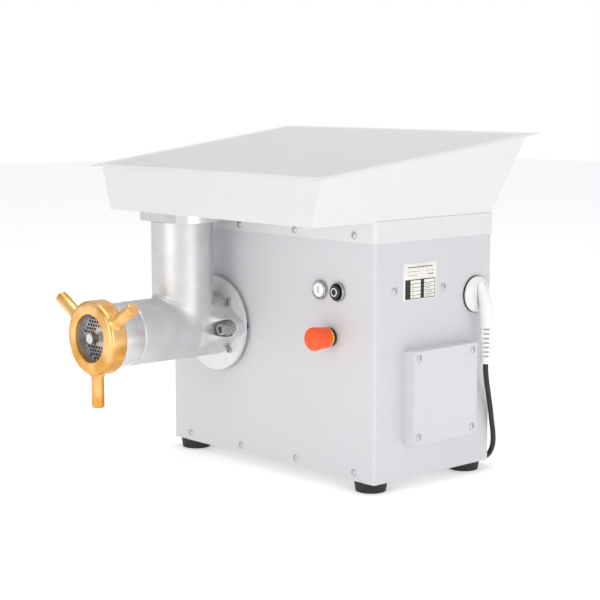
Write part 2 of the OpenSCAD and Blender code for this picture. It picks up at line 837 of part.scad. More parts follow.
module drive_stand() {
    color("gainsboro") {
        for (x = [head_x - 62, head_x + 56])
            translate([x, wheel_y - 40, foot_h + 2]) cube([6, 80, box_low_z - foot_h - 2]);
        translate([head_x - 75, wheel_y - 40, box_low_z - 4]) cube([150, 80, 4]);
        difference() {
            translate([60, wheel_y - 45, foot_h + 2]) cube([20, 90, worm_z - foot_h - 30]);
            on_worm(59) cylinder(r = motor_r + 0.1, h = 22);
        }
    }
}

module run_capacitor() {
    color("white") on_worm(-8) translate([-motor_r - 19, 0, 0]) {
        cylinder(r = 19, h = 80);
        translate([0, 0, 80]) cylinder(r = 15, h = 6);
    }
}

module contactor() {
    color("dimgray") {
        translate([112, rear_y - sheet - 8, 286]) cube([62, 8, 35]);
        translate([120, rear_y - sheet - 68, 262]) cube([46, 60, 82]);
    }
}

// ---------- controls ----------

module button_bezels() {
    sleeve = 16;
    color("silver") for (x = [start_x, stop_x]) translate([x, 0, button_z]) {
        along_y(front_y - bezel_out) difference() {
            union() {
                cylinder(r1 = bezel_r - 1.4, r2 = bezel_r, h = 2);
                translate([0, 0, 2]) cylinder(r = bezel_r, h = bezel_out - 2);
                translate([0, 0, bezel_out - tiny]) cylinder(r = sleeve_r, h = sleeve);
            }
            translate([0, 0, -1]) cylinder(r = cap_r + 0.35, h = bezel_out - bezel_floor + 1);
            cylinder(r = stem_r + 0.4, h = bezel_out + sleeve + 1);
        }
        along_y(front_y + sheet) tube(14, sleeve_r, 5);
    }
}

module cap(x, out) {
    skirt_end = bezel_floor + button_travel + 0.4;
    translate([x, 0, button_z]) {
        along_y(front_y - out) cylinder(r1 = cap_r - 0.8, r2 = cap_r, h = 1);
        along_y(front_y - out + 1) cylinder(r = cap_r, h = out - 1 - skirt_end);
        along_y(front_y - skirt_end - tiny) cylinder(r = stem_r, h = skirt_end + stem_in);
    }
}

module start_cap() { color("white") cap(start_x, bezel_out); }
module stop_cap() { color("black") cap(stop_x, stop_out); }

module contact_blocks() {
    block_y = front_y + stem_in + button_travel + 0.5;
    color("darkgreen") {
        for (x = [start_x, stop_x])
            translate([x - 14, block_y, button_z - 21]) cube([28, 34, 42]);
        translate([estop_x - 15, block_y + 8, estop_z - 21]) cube([30, 34, 42]);
    }
}

module estop_base() {
    color("black") translate([estop_x, 0, estop_z]) {
        along_y(front_y - 6) tube(13.5, 6, 6);
        along_y(front_y - tiny) tube(sleeve_r, 6, 16);
        along_y(front_y + sheet) tube(15, sleeve_r, 5);
    }
}

module estop_ring() {
    color("gold") translate([estop_x, 0, estop_z]) along_y(front_y - 12) tube(14, 6, 6);
}

module estop_stem() {
    color("dimgray") translate([estop_x, 0, estop_z]) along_y(front_y - 30) cylinder(r = 5.7, h = 52);
}

module estop_head() {
    front = 39;
    color("orangered") translate([estop_x, 0, estop_z]) along_y(front_y - front) difference() {
        union() {
            cylinder(r1 = 14.5, r2 = 16.7, h = 3);
            translate([0, 0, 3]) cylinder(r = 16.7, h = 8);
            translate([0, 0, 11]) cylinder(r1 = 16.2, r2 = 15.5, h = front - 11 - 10);
        }
        translate([0, 0, front - 20]) cylinder(r = 14.4, h = 30);
        translate([0, 0, front - 31]) cylinder(r = 5.75, h = 30);
    }
}

// ---------- mains lead ----------

module parking_socket() {
    color("black") translate([0, plug_y, plug_z]) difference() {
        union() {
            along_x(half_w) cylinder(r = 27.5, h = 2.2);
            along_x(half_w - 26) cylinder(r = 24.5, h = 26 + tiny);
        }
        for (s = [-1, 1])
            translate([0, 0, s * 9.5]) along_x(half_w - 22) cylinder(r = 2.5, h = 26);
    }
}

// angled plug: a disc, a slanting grip that bends down, two finger ribs and two pins
module mains_plug() {
    plug_back = half_w + 2.3;
    grip_low = 17;
    grip_r = 9.4;
    slant = 24.5;
    color("white") difference() {
        union() {
            translate([0, plug_y, plug_z]) {
                along_x(plug_back) cylinder(r = plug_r, h = 3);
                along_x(plug_back + 3) cylinder(r1 = plug_r, r2 = 21, h = 4);
                for (s = [-1, 1])
                    translate([plug_back + 6, s * 12 - 1.2, -17]) cube([4.5, 2.4, 34]);
            }
            translate([relief_x, plug_y, plug_z - grip_low]) {
                sphere(r = grip_r);
                rotate([0, -slant, 0]) cylinder(r1 = grip_r, r2 = 6.5, h = 40);
                translate([0, 0, relief_top - plug_z + grip_low])
                    cylinder(r1 = relief_r, r2 = grip_r, h = plug_z - grip_low - relief_top);
            }
        }
        translate([plug_back - 30 + tiny, plug_y - 40, plug_z - 40]) cube([30, 80, 80]);
    }
    color("silver") for (s = [-1, 1])
        translate([0, plug_y, plug_z + s * 9.5]) along_x(plug_back - 19) cylinder(r = 2.4, h = 20);
}

module strain_relief() {
    color("white") translate([relief_x, plug_y, relief_low])
        cylinder(r1 = 7.5, r2 = relief_r, h = relief_top - relief_low);
}

module cord_gland() {
    color("black") translate([gland_x, 0, gland_z]) difference() {
        union() {
            along_y(rear_y) cylinder(r = 12, h = 6, $fn = 6);
            along_y(rear_y - 8) cylinder(r = 7.9, h = 10);
            along_y(rear_y + 6) cylinder(r1 = 9.5, r2 = 5.4, h = 20);
            along_y(rear_y - sheet - 5) tube(11, 7.9, 5);
        }
        along_y(rear_y - 10) cylinder(r = cord_r, h = 50);
    }
}

// ring of points around the route at point i
function ahead(route, i) = route[min(i + 1, len(route) - 1)] - route[max(i - 1, 0)];
function ring_points(route, i, r, n) = let (
        d = ahead(route, i) / norm(ahead(route, i)),
        side = cross(d, abs(d[2]) > 0.9 ? [0, 1, 0] : [0, 0, 1]),
        u = side / norm(side),
        v = cross(u, d)
    ) [for (k = [0:n - 1]) route[i] + r * (u * cos(360 * k / n) + v * sin(360 * k / n))];

module swept(route, r) {
    n = 10;
    last = len(route) - 1;
    polyhedron(
        points = [for (i = [0:last]) each ring_points(route, i, r, n)],
        faces = [
            [for (k = [0:n - 1]) k],
            for (i = [0:last - 1]) for (k = [0:n - 1]) let (m = (k + 1) % n)
                [i * n + k, (i + 1) * n + k, (i + 1) * n + m, i * n + m],
            [for (k = [n - 1:-1:0]) last * n + k]
        ]
    );
}

module cord_lead() { color("black") swept(lead_route, cord_r); }
module cord_tail() { color("black") swept(tail_route, cord_r); }

module cord_coil() {
    color("black") translate([coil_x, coil_y, 0]) rotate_extrude()
        translate([coil_in, 0]) square([coil_out - coil_in, coil_h]);
}

base_plate();
cabinet_shell();
rear_panel();
meat_tray();
rubber_feet();
foot_bolts();
panel_screws();
terminal_cover();
cover_screws();
side_screws();
rating_plate();
grinder_barrel();
throat_flange();
mounting_flange();
flange_screws();
head_bolts();
rear_bush();
plate_pin();
grinding_plate();
thrust_ring();
ring_nut();
ring_bars();
auger();
auger_stud();
knife();
output_shaft();
shaft_key();
worm_wheel();
gearbox_adapter();
gearbox_housing();
gearbox_cover();
output_bearings();
shaft_seal();
worm();
motor_shaft();
rotor_core();
cooling_fan();
worm_bearings();
motor_bearings();
motor_frame();
stator_core();
fan_cowl();
drive_stand();
run_capacitor();
contactor();
button_bezels();
start_cap();
stop_cap();
contact_blocks();
estop_base();
estop_ring();
estop_stem();
estop_head();
parking_socket();
mains_plug();
strain_relief();
cord_gland();
cord_lead();
cord_coil();
cord_tail();
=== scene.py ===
"""Looks of the electric meat grinder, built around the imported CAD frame. Metres, +Z up."""
import math

import bmesh
import bpy
import numpy as np
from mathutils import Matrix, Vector


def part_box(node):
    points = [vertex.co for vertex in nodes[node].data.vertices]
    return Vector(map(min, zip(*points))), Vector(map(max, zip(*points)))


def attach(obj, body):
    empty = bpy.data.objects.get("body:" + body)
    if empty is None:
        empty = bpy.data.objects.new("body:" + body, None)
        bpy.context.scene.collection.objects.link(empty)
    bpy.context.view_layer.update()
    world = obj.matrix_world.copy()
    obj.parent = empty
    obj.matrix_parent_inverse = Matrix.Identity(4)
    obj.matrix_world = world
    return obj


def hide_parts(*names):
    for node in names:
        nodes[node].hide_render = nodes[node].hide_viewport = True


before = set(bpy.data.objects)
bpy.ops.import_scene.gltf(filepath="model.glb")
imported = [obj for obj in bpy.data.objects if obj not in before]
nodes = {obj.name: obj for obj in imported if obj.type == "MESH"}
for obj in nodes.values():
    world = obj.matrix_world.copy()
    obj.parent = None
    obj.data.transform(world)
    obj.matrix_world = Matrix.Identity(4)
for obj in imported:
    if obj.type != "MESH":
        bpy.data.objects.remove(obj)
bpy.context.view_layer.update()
MM = 0.001

# ---------- places, read from the frame ----------


def middle(node):
    low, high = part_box(node)
    return (low + high) / 2


HEAD_X, HEAD_Z = middle("ring_nut").x, middle("ring_nut").z
FRONT_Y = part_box("cabinet_shell")[0].y
REAR_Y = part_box("cabinet_shell")[1].y
HALF_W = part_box("cabinet_shell")[1].x
RING_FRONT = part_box("ring_nut")[0].y
MOUNT_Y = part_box("mounting_flange")[0].y
NECK_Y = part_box("throat_flange")[1].y - (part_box("throat_flange")[1].x - HEAD_X)

# ---------- camera ----------

TARGET = Vector((-0.0220, 0.0626, 0.2478))
AZIMUTH, ELEVATION, DISTANCE = math.radians(47.19), math.radians(7.64), 2.51387
LENS = 98.06


def make_camera():
    back = Vector((
        math.sin(AZIMUTH) * math.cos(ELEVATION),
        -math.cos(AZIMUTH) * math.cos(ELEVATION),
        math.sin(ELEVATION),
    ))
    data = bpy.data.cameras.new("camera")
    data.lens, data.sensor_width = LENS, 36.0
    data.clip_start, data.clip_end = 0.05, 60.0
    camera = bpy.data.objects.new("camera", data)
    camera.location = TARGET + back * DISTANCE
    camera.rotation_mode = "QUATERNION"
    camera.rotation_quaternion = (-back).to_track_quat("-Z", "Y")
    bpy.context.scene.collection.objects.link(camera)
    bpy.context.scene.camera = camera


make_camera()

# ---------- node helpers ----------


class Shader:
    """A material under construction: a Principled shader with procedural inputs."""

    def __init__(self, name, color, metallic=0.0, rough=0.5, **sockets):
        self.material = bpy.data.materials.new(name)
        self.material.use_nodes = True
        self.tree = self.material.node_tree
        self.tree.nodes.clear()
        self.out = self.tree.nodes.new("ShaderNodeOutputMaterial")
        self.bsdf = self.tree.nodes.new("ShaderNodeBsdfPrincipled")
        self.tree.links.new(self.bsdf.outputs[0], self.out.inputs[0])
        self.coords = self.tree.nodes.new("ShaderNodeTexCoord").outputs["Object"]
        self.bsdf.inputs["Base Color"].default_value = (*color, 1)
        self.bsdf.inputs["Metallic"].default_value = metallic
        self.bsdf.inputs["Roughness"].default_value = rough
        for socket, value in sockets.items():
            self.bsdf.inputs[socket.replace("_", " ")].default_value = value
        self.height = None

    def noise(self, scale, detail=3.0, stretch=(1, 1, 1)):
        mapping = self.tree.nodes.new("ShaderNodeMapping")
        mapping.inputs["Scale"].default_value = stretch
        self.tree.links.new(self.coords, mapping.inputs["Vector"])
        node = self.tree.nodes.new("ShaderNodeTexNoise")
        node.inputs["Scale"].default_value = scale
        node.inputs["Detail"].default_value = detail
        self.tree.links.new(mapping.outputs[0], node.inputs["Vector"])
        return node.outputs[0]

    def ramp(self, value, low, high, start=0.35, end=0.65):
        """Maps a 0..1 value to a range, or between two colours."""
        if isinstance(low, (int, float)):
            node = self.tree.nodes.new("ShaderNodeMapRange")
            for name, v in zip(("From Min", "From Max", "To Min", "To Max"), (start, end, low, high)):
                node.inputs[name].default_value = v
            self.tree.links.new(value, node.inputs["Value"])
            return node.outputs[0]
        node = self.tree.nodes.new("ShaderNodeValToRGB")
        node.color_ramp.elements[0].position = start
        node.color_ramp.elements[0].color = (*low, 1)
        node.color_ramp.elements[1].position = end
        node.color_ramp.elements[1].color = (*high, 1)
        self.tree.links.new(value, node.inputs["Fac"])
        return node.outputs["Color"]

    def color(self, value, low, high, start=0.35, end=0.65):
        self.tree.links.new(self.ramp(value, low, high, start, end), self.bsdf.inputs["Base Color"])
        return self

    def rough(self, value, low, high):
        self.tree.links.new(self.ramp(value, low, high), self.bsdf.inputs["Roughness"])
        return self

    def bump(self, value, strength, distance):
        node = self.tree.nodes.new("ShaderNodeBump")
        node.inputs["Strength"].default_value = strength
        node.inputs["Distance"].default_value = distance
        self.tree.links.new(value, node.inputs["Height"])
        if self.height is not None:
            self.tree.links.new(self.height, node.inputs["Normal"])
        self.tree.links.new(node.outputs[0], self.bsdf.inputs["Normal"])
        self.height = node.outputs[0]
        return self


def tint(color, factor):
    return tuple(min(1.0, c * factor) for c in color)


def brushed_steel(name, color, rough, grain, metallic=0.35):
    """Satin sheet: fine grain stretched along one axis, and a faint cloudiness."""
    s = Shader(name, color, metallic, rough)
    lines = s.noise(1.0, 4.0, grain)
    cloud = s.noise(9.0, 2.0)
    s.color(lines, tint(color, 0.985), tint(color, 1.012), 0.3, 0.7)
    s.rough(cloud, rough - 0.03, rough + 0.04)
    s.bump(lines, 0.06, 0.0002)
    return s.material


def cast_metal(name, color, rough, scale=420, strength=0.05, metallic=0.95):
    s = Shader(name, color, metallic, rough)
    grain = s.noise(scale, 5.0)
    cloud = s.noise(30.0, 3.0)
    s.color(cloud, tint(color, 0.96), tint(color, 1.04))
    s.rough(grain, rough - 0.06, rough + 0.07)
    s.bump(grain, strength, 0.0004)
    return s.material


def turned_metal(name, color, rough, lines=(60, 2600, 60), metallic=1.0, strength=0.05):
    """Machined metal: fine turning marks across the axis."""
    s = Shader(name, color, metallic, rough)
    marks = s.noise(1.0, 2.0, lines)
    cloud = s.noise(40.0, 2.0)
    s.color(cloud, tint(color, 0.97), tint(color, 1.03))
    s.rough(marks, rough * 0.8, rough * 1.25)
    s.bump(marks, strength, 0.0001)
    return s.material


def satin_brass(name, color, dark):
    """Brass with broad soft zones between pale gold and amber: the amber is the brass's own colour, the pale
    gold zones are painted highlight scattered at random.
    """
    s = Shader(name, color, 0.9, 0.30)
    painted_highlight_zones = s.noise(26.0, 1.0)
    marks = s.noise(1.0, 2.0, (500, 1500, 500))
    # pale gold zones: painted highlight over the amber brass
    s.color(painted_highlight_zones, dark, color, 0.42, 0.60)
    s.rough(marks, 0.24, 0.36)
    s.bump(marks, 0.03, 0.0001)
    return s.material


def moulded(name, color, rough, scale=900, strength=0.08, coat=0.0):
    s = Shader(name, color, 0.0, rough, Coat_Weight=coat)
    grain = s.noise(scale, 2.0)
    cloud = s.noise(25.0, 2.0)
    s.color(cloud, tint(color, 0.95), tint(color, 1.05))
    s.rough(grain, rough - 0.05, rough + 0.08)
    s.bump(grain, strength, 0.0002)
    return s.material


M = {
    "sheet": brushed_steel("cabinet_sheet", (0.67, 0.67, 0.69), 0.60, (60, 60, 1600), 0.2),
    "tray": brushed_steel("tray_sheet", (0.76, 0.76, 0.77), 0.55, (1500, 50, 50), 0.15),
    # the cover sheet is the cabinet sheet made a touch lighter: painted light, evening out the shade the
    # cover takes
    "cover": brushed_steel("cover_sheet_painted_lighter", (0.68, 0.68, 0.70), 0.55, (60, 60, 1600), 0.2),
    "base": brushed_steel("base_sheet", (0.62, 0.62, 0.63), 0.45, (1500, 50, 50)),
    "rubber": moulded("foot_rubber", (0.012, 0.012, 0.013), 0.55, 700, 0.25),
    "zinc": turned_metal("zinc_bolt", (0.62, 0.62, 0.64), 0.35),
    "screw": turned_metal("screw_steel", (0.60, 0.60, 0.61), 0.30, (900, 900, 900)),
    "dark_screw": turned_metal("dark_screw", (0.44, 0.44, 0.45), 0.30, (900, 900, 900)),
    "label": moulded("label_face", (0.84, 0.82, 0.76), 0.45, 1200, 0.03),
    "ink": moulded("label_ink", (0.02, 0.02, 0.02), 0.5, 1200, 0.03),
    "ink_light": moulded("label_ink_light", (0.22, 0.21, 0.20), 0.5, 1200, 0.03),
    "cast": cast_metal("head_cast", (0.66, 0.66, 0.67), 0.42, metallic=0.85),
    "rough_cast": cast_metal("rough_cast", (0.66, 0.66, 0.68), 0.50, 300, 0.7),
    "polished": turned_metal("polished_aluminium", (0.74, 0.74, 0.74), 0.16, (60, 60, 900)),
    "flange": turned_metal("flange_aluminium", (0.80, 0.80, 0.80), 0.42, metallic=0.45),
    "rim": turned_metal("flange_rim", (0.88, 0.88, 0.89), 0.12),
    "collar": turned_metal("turned_collar", (0.70, 0.70, 0.71), 0.28),
    "bronze": turned_metal("bush_bronze", (0.55, 0.36, 0.16), 0.35),
    "plate_steel": turned_metal("plate_steel", (0.62, 0.62, 0.63), 0.34, (900, 900, 900)),
    "brass": satin_brass("ring_brass", (0.92, 0.57, 0.23), (0.70, 0.34, 0.07)),
    "auger_iron": cast_metal("auger_tinned", (0.62, 0.62, 0.63), 0.33),
    "stud_steel": turned_metal("stud_steel", (0.66, 0.66, 0.67), 0.16, (900, 900, 900)),
    "wheel_bronze": turned_metal("wheel_bronze", (0.62, 0.42, 0.17), 0.32),
    "shaft_steel": turned_metal("shaft_steel", (0.58, 0.58, 0.60), 0.25),
    "housing_iron": cast_metal("housing_paint", (0.22, 0.25, 0.28), 0.5, 260, 0.4, 0.0),
    "core_steel": turned_metal("core_laminations", (0.35, 0.35, 0.37), 0.4, (1500, 60, 60)),
    "copper": turned_metal("copper_winding", (0.70, 0.34, 0.16), 0.35, (1200, 60, 60)),
    "nylon": moulded("dark_nylon", (0.03, 0.03, 0.035), 0.5),
    "white_plastic": moulded("white_plastic", (0.86, 0.86, 0.85), 0.33, 900, 0.04),
    "relief_shade": moulded("relief_shade", (0.30, 0.30, 0.31), 0.6, 900, 0.04),
    "chrome": turned_metal("bezel_chrome", (0.42, 0.42, 0.43), 0.16, (300, 300, 300), strength=0.01),
    "cap_white": moulded("cap_white", (0.88, 0.88, 0.88), 0.22, 900, 0.03, 0.4),
    "cap_black": moulded("cap_black", (0.015, 0.015, 0.017), 0.25, 900, 0.03, 0.3),
    "block": moulded("contact_block", (0.06, 0.20, 0.12), 0.45),
    "black_plastic": moulded("black_plastic", (0.012, 0.012, 0.013), 0.42),
    "yellow": moulded("yellow_plastic", (0.95, 0.62, 0.03), 0.4, 900, 0.05),
    "red": moulded("stop_red", (0.95, 0.095, 0.008), 0.42, 700, 0.06, 0.1),
    "cord": moulded("cord_rubber", (0.014, 0.014, 0.015), 0.42, 1100, 0.15),
}

# ---------- mesh helpers ----------


def add_object(name, mesh, material, body, sharp=35):
    """Puts a finished mesh in the scene, in the row frame, riding on a body."""
    for p in mesh.polygons:
        p.use_smooth = True
    mesh.set_sharp_from_angle(angle=math.radians(sharp))
    mesh.materials.append(M[material])
    obj = bpy.data.objects.new(name, mesh)
    bpy.context.scene.collection.objects.link(obj)
    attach(obj, body)
    return obj


def mesh_of(name, vertices, faces):
    mesh = bpy.data.meshes.new(name)
    mesh.from_pydata([tuple(v) for v in vertices], [], faces)
    mesh.validate()
    mesh.update()
    return mesh


def rounded(points, steps=5):
    """Rounds the corners of a profile. A point is (radius, along) or (radius, along, corner radius)."""
    made = []
    for i, p in enumerate(points):
        if len(p) < 3 or i in (0, len(points) - 1):
            made.append((p[0], p[1]))
            continue
        here = Vector(p[:2])
        before, after = Vector(points[i - 1][:2]) - here, Vector(points[i + 1][:2]) - here
        corner = before.angle(after)
        cut = min(p[2] / math.tan(corner / 2), before.length * 0.49, after.length * 0.49)
        radius = cut * math.tan(corner / 2)
        bisector = (before.normalized() + after.normalized()).normalized()
        centre = here + bisector * (radius / math.sin(corner / 2))
        a = here + before.normalized() * cut - centre
        b = here + after.normalized() * cut - centre
        for k in range(steps + 1):
            v = a.slerp(b, k / steps).normalized() * radius if a.angle(b) > 1e-4 else a
            made.append(tuple(centre + v))
    return made


def axes_for(direction):
    """Two directions square to an axis."""
    d = Vector(direction).normalized()
    side = Vector((0, 0, 1)) if abs(d.z) < 0.9 else Vector((1, 0, 0))
    u = d.cross(side).normalized()
    return d, u, d.cross(u)


def lathe(profile, origin, direction, segments=72, wobble=None):
    """Vertices and faces of a profile turned about an axis; (radius, along) in millimetres."""
    d, u, v = axes_for(direction)
    origin = Vector(origin)
    points, faces = [], []
    closed = [p[0] < 1e-6 for p in profile]
    rows = []
    for (radius, along), tip in zip(profile, closed):
        if tip:
            rows.append([len(points)])
            points.append(origin + d * along * MM)
            continue
        rows.append(list(range(len(points), len(points) + segments)))
        for k in range(segments):
            a = 2 * math.pi * k / segments
            r = radius + (wobble(a, radius, along) if wobble else 0)
            points.append(origin + d * along * MM + (u * math.cos(a) + v * math.sin(a)) * r * MM)
    for low, high in zip(rows, rows[1:]):
        for k in range(segments):
            m = (k + 1) % segments
            if len(low) == 1 and len(high) == 1:
                break
            if len(low) == 1:
                faces.append((low[0], high[m], high[k]))
            elif len(high) == 1:
                faces.append((low[k], low[m], high[0]))
            else:
                faces.append((low[k], low[m], high[m], high[k]))
    return points, faces


def joined(parts):
    """One (vertices, faces) from several."""
    vertices, faces = [], []
    for v, f in parts:
        start = len(vertices)
        vertices.extend(v)
        faces.extend(tuple(i + start for i in face) for face in f)
    return vertices, faces


def outward(mesh):
    work = bmesh.new()
    work.from_mesh(mesh)
    bmesh.ops.recalc_face_normals(work, faces=work.faces)
    work.to_mesh(mesh)
    work.free()
    return mesh


def piece(name, parts, material, body, replaces=(), sharp=35):
    """One visible piece from lathes, tubes and boxes."""
    obj = add_object(name, outward(mesh_of(name, *joined(parts))), material, body, sharp)
    if replaces:
        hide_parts(*replaces)
    return obj


def block(low, high, bevel=0.3):
    """A box with chamfered edges; corners in millimetres."""
    work = bmesh.new()
    bmesh.ops.create_cube(work, size=1.0)
    size = Vector(high) - Vector(low)
    centre = (Vector(high) + Vector(low)) / 2
    for v in work.verts:
        v.co = Vector(a * b for a, b in zip(v.co, size)) + centre
    if bevel:
        bmesh.ops.bevel(work, geom=list(work.edges), offset=bevel, segments=2, affect="EDGES", profile=0.5)
    vertices = [v.co * MM for v in work.verts]
    work.verts.index_update()
    faces = [tuple(v.index for v in f.verts) for f in work.faces]
    work.free()
    return vertices, faces


def bevel(obj, width, angle=40, segments=2):
    m = obj.modifiers.new("edge", "BEVEL")
    m.width, m.segments = width * MM, segments
    m.limit_method, m.angle_limit = "ANGLE", math.radians(angle)
    m.harden_normals = True
    return obj


# ---------- mains lead ----------

CORD_D = 8.0
COIL_X, COIL_Y = -24.0, 288.0
LEAD_ROUTE = [
    (20, 234, 55), (20, 246, 55), (20, 257, 54), (20, 267, 50.5),
    (20, 276, 44.5), (19.8, 284, 37), (19.3, 292, 29.5), (18, 300, 23), (16, 308, 18),
]
TAIL_ROUTE = [
    (0, 236, 4), (25, 236, 4), (50, 236, 4), (75, 236, 4), (100, 236, 4),
    (125, 236, 4), (150, 236, 4), (172, 235.5, 5), (192, 235, 8), (208, 233.5, 14),
    (220, 231.5, 24), (227, 229.5, 38), (230, 226, 56), (232, 220, 76), (235, 213, 97),
    (238, 205, 118), (243, 195, 138), (246.3, 188.5, 155), (247, 187, 168.5), (247, 187, 174),
]


def coil_points():
    """Turns from the lead's end: in along the upper layer, down, and out along the lower one."""
    start, top_end, down_end, end = 26.6, 476.6, 566.6, 1350.0
    points = []
    angle = start + 16
    while angle < end:
        if angle < top_end:
            t = (angle - start) / (top_end - start)
            radius = 44.7 - 10.3 * t
            drop = max(0.0, 1 - (angle - start) / 70)
            height = 12.3 + 5.7 * drop * drop
        elif angle < down_end:
            t = (angle - top_end) / (down_end - top_end)
            radius = 34.4 - 1.4 * t
            height = 12.3 - 8.3 * (3 * t * t - 2 * t * t * t)
        else:
            t = (angle - down_end) / (end - down_end)
            radius = 33 + 19 * t
            height = 4.0
        a = math.radians(angle)
        points.append((COIL_X + radius * math.cos(a), COIL_Y + radius * math.sin(a), height))
        angle += 15
    return points


def smooth_path(points, steps=4):
    """Catmull-Rom points through a route."""
    p = [Vector(q) for q in points]
    p = [2 * p[0] - p[1], *p, 2 * p[-1] - p[-2]]
    made = []
    for i in range(1, len(p) - 2):
        a, b, c, d = p[i - 1:i + 3]
        for k in range(steps):
            t = k / steps
            made.append(0.5 * (2 * b + (c - a) * t + (2 * a - 5 * b + 4 * c - d) * t * t
                               + (3 * b - a - 3 * c + d) * t ** 3))
    return [*made, p[-2]]


def make_cord():
    path = smooth_path([*LEAD_ROUTE, *coil_points(), (COIL_X, 236, 4), *TAIL_ROUTE])
    data = bpy.data.curves.new("mains_cord", "CURVE")
    data.dimensions = "3D"
    data.bevel_depth, data.bevel_resolution = CORD_D / 2 * MM, 5
    data.use_fill_caps = True
    spline = data.splines.new("POLY")
    spline.points.add(len(path) - 1)
    for point, place in zip(spline.points, path):
        point.co = (*(place * MM), 1)
    data.materials.append(M["cord"])
    cord = bpy.data.objects.new("mains_cord", data)
    bpy.context.scene.collection.objects.link(cord)
    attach(cord, "cabinet")
    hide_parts("cord_lead", "cord_coil", "cord_tail")
    return cord


def make_tie():
    """A soft strap round the coil's bundle."""
    angle = math.radians(140)
    out = Vector((math.cos(angle), math.sin(angle), 0))
    along = Vector((-out.y, out.x, 0))
    centre = Vector((COIL_X, COIL_Y, 0))
    inner, outer, low, high, r = 27.6, 56.2, 0.2, 17.0, 5.0
    ring = []
    for cx, cz, a0 in ((outer - r, high - r, 0), (inner + r, high - r, 90),
                       (inner + r, low + r, 180), (outer - r, low + r, 270)):
        for k in range(7):
            a = math.radians(a0 + 15 * k)
            ring.append((cx + r * math.cos(a), cz + r * math.sin(a), math.cos(a), math.sin(a)))
    vertices, faces = [], []
    half, thick = 6.0, 1.1
    for x, z, nx, nz in ring:
        for side, lift in ((-half, 0), (half, 0), (half, -thick), (-half, -thick)):
            spot = centre + out * (x + nx * lift) + Vector((0, 0, z + nz * lift)) + along * side
            vertices.append(spot * MM)
    n = len(ring)
    for i in range(n):
        j = (i + 1) % n
        for k in range(4):
            m = (k + 1) % 4
            faces.append((i * 4 + k, i * 4 + m, j * 4 + m, j * 4 + k))
    return piece("cord_tie", [(vertices, faces)], "nylon", "cabinet")


# plug: a domed disc, a slanting grip that bends down into the relief, and two finger ribs
PLUG_BACK = HALF_W / MM + 2.3
PLUG_Y, PLUG_Z = middle("parking_socket").y / MM, middle("parking_socket").z / MM
RELIEF_X = middle("strain_relief").x / MM
RELIEF_LOW, RELIEF_TOP = (v.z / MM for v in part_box("strain_relief"))


def make_plug():
    r = 26.7
    disc = rounded([(0, 7.0), (19.5, 6.8, 4.0), (25.0, 3.6, 4.0), (r, 1.8, 1.2), (r, 0.0, 0.5), (0, 0.0)])
    centre = (PLUG_BACK * MM, PLUG_Y * MM, PLUG_Z * MM)
    parts = [lathe(disc, centre, (1, 0, 0), 96)]
    # the grip: rounded sections along a bent line, thin at the top and round at the neck
    spine = smooth_path([
        (PLUG_BACK + 3.0, 0, 23.0), (PLUG_BACK + 6.2, 0, 16.0), (PLUG_BACK + 10.6, 0, 6.0),
        (PLUG_BACK + 15.6, 0, -6.0), (RELIEF_X - 1.0, 0, -17.0), (RELIEF_X, 0, -27.0),
        (RELIEF_X, 0, -38.0), (RELIEF_X, 0, RELIEF_TOP - PLUG_Z - 0.5),
    ], 5)
    # the grip's radius at depths below the disc's centre
    depths = [-23.0, -16.0, -6.0, 6.0, 17.0, 27.0, 38.0, 60.0]
    radii = [3.0, 6.6, 8.0, 9.0, 9.7, 10.0, 9.4, 8.6]
    ring = 40
    vertices, faces = [], []
    for i, here in enumerate(spine):
        grip_r = np.interp(-here.z, depths, radii)
        way = (spine[min(i + 1, len(spine) - 1)] - spine[max(i - 1, 0)]).normalized()
        side = Vector((0, 1, 0))
        up = way.cross(side)
        for k in range(ring):
            a = 2 * math.pi * k / ring
            spot = here + side * math.cos(a) * grip_r + up * math.sin(a) * grip_r
            spot.x = max(spot.x, PLUG_BACK + 0.4)
            vertices.append((spot + Vector((0, PLUG_Y, PLUG_Z))) * MM)
    rows = len(spine) - 1
    for i in range(rows):
        for k in range(ring):
            m = (k + 1) % ring
            faces.append((i * ring + k, i * ring + m, (i + 1) * ring + m, (i + 1) * ring + k))
    faces.append(tuple(range(ring)))
    faces.append(tuple(reversed(range(rows * ring, (rows + 1) * ring))))
    parts.append((vertices, faces))
    rib_y, rib_half, rib_reach, pin_z = 12, 1.2, 17, 9.5
    pin = rounded([(0, 0.5), (2.4, 0.5), (2.4, -18.0, 1.0), (0, -19.0)])
    for s in (-1, 1):
        y = PLUG_Y + s * rib_y
        parts.append(block(
            (PLUG_BACK + 5.5, y - rib_half, PLUG_Z - rib_reach),
            (PLUG_BACK + 10.5, y + rib_half, PLUG_Z + rib_reach), 0.9,
        ))
        parts.append(lathe(pin, (centre[0], centre[1], (PLUG_Z + s * pin_z) * MM), (1, 0, 0), 24))
    return piece("mains_plug_body", parts, "white_plastic", "cabinet", ["mains_plug"], 50)


